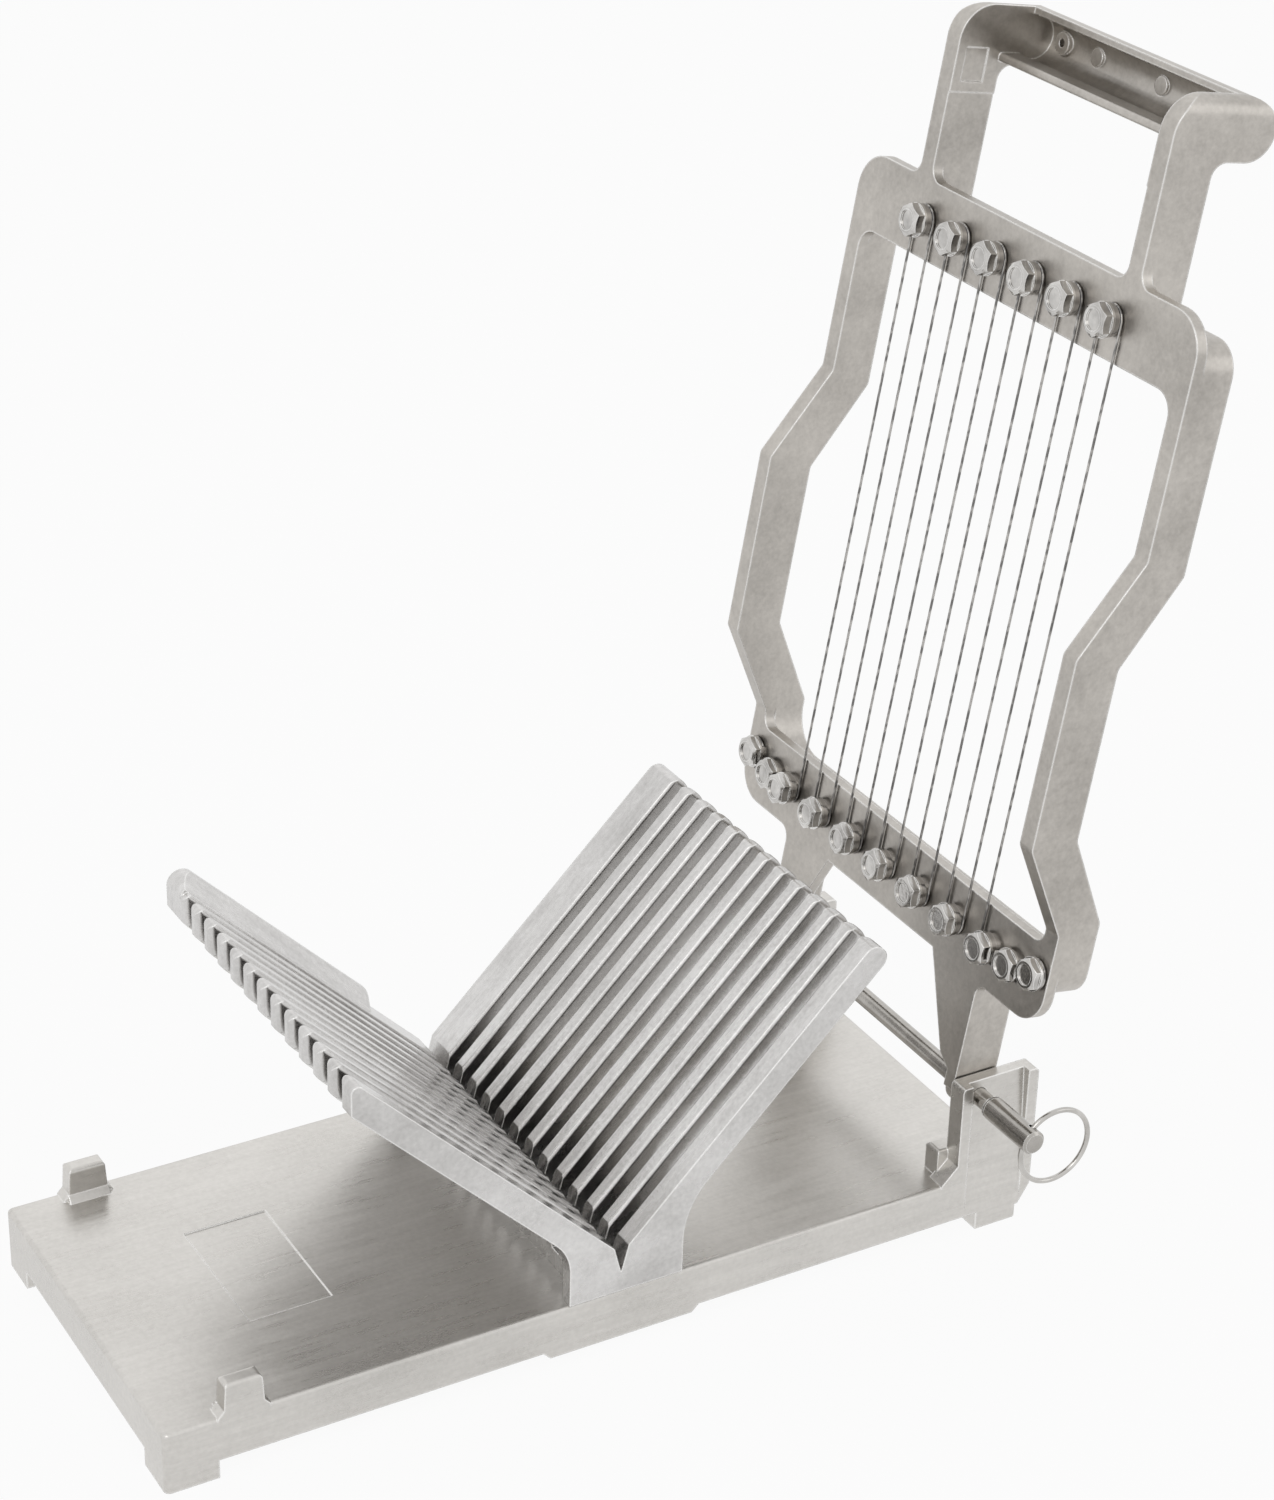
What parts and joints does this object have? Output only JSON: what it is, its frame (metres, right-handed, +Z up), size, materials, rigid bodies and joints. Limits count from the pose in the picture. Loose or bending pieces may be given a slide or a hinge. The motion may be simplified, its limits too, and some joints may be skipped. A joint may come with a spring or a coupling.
{
  "type": "wire butter slicer",
  "caption": "Tabletop butter slicer: a tray with a slotted V cradle and a hinged cast frame strung with steel wire that swings down through the cradle's slots by a bar handle.",
  "frame": {"origin": "on the ground, in the plane of the feet, under the middle of the whole slicer's box", "axes": "+X from the front of the tray to its rear, where the frame is hinged; +Y across the tray, away from the pull ring; +Z up"},
  "size_m": [0.3714, 0.1836, 0.3774],
  "materials": {
    "cast_aluminium": "satin",
    "stainless_steel": "polished",
    "cutting_wire": "drawn",
    "ring_chrome": "polished"
  },
  "bodies": {
    "base": {"base_casting": "cast_aluminium", "cradle": "cast_aluminium", "cradle_screw_1": "stainless_steel", "cradle_screw_2": "stainless_steel", "cradle_screw_3": "stainless_steel", "cradle_screw_4": "stainless_steel"},
    "hinge_pin": {"pivot_pin": "stainless_steel"},
    "ring": {"pull_ring": "ring_chrome"},
    "wire_frame": {"anchor_collar_1": "stainless_steel", "anchor_collar_2": "stainless_steel", "anchor_collar_3": "stainless_steel", "anchor_collar_4": "stainless_steel", "anchor_screw_1": "stainless_steel", "anchor_screw_2": "stainless_steel", "anchor_screw_3": "stainless_steel", "anchor_screw_4": "stainless_steel", "bottom_collar_1": "stainless_steel", "bottom_collar_2": "stainless_steel", "bottom_collar_3": "stainless_steel", "bottom_collar_4": "stainless_steel", "bottom_collar_5": "stainless_steel", "bottom_collar_6": "stainless_steel", "bottom_collar_7": "stainless_steel", "bottom_screw_1": "stainless_steel", "bottom_screw_2": "stainless_steel", "bottom_screw_3": "stainless_steel", "bottom_screw_4": "stainless_steel", "bottom_screw_5": "stainless_steel", "bottom_screw_6": "stainless_steel", "bottom_screw_7": "stainless_steel", "cutting_wire": "cutting_wire", "frame_casting": "cast_aluminium", "top_collar_1": "stainless_steel", "top_collar_2": "stainless_steel", "top_collar_3": "stainless_steel", "top_collar_4": "stainless_steel", "top_collar_5": "stainless_steel", "top_collar_6": "stainless_steel", "top_screw_1": "stainless_steel", "top_screw_2": "stainless_steel", "top_screw_3": "stainless_steel", "top_screw_4": "stainless_steel", "top_screw_5": "stainless_steel", "top_screw_6": "stainless_steel"}
  },
  "joints": [
    {"name": "frame_swing", "type": "hinge", "parent": "base", "child": "wire_frame", "pos_m": [0.10249, 0.00175, 0.0512], "axis": [0, -1, 0], "range_deg": [0, 101.7]},
    {"name": "pin_pull", "type": "slide", "parent": "base", "child": "hinge_pin", "axis": [0, -1, 0], "range_m": [-0.0066, 0.16]},
    {"name": "ring_swing", "type": "hinge", "parent": "hinge_pin", "child": "ring", "pos_m": [0.10249, -0.08765, 0.0512], "axis": [0.5, 0, 0.866], "range_deg": [-215, 35]}
  ]
}
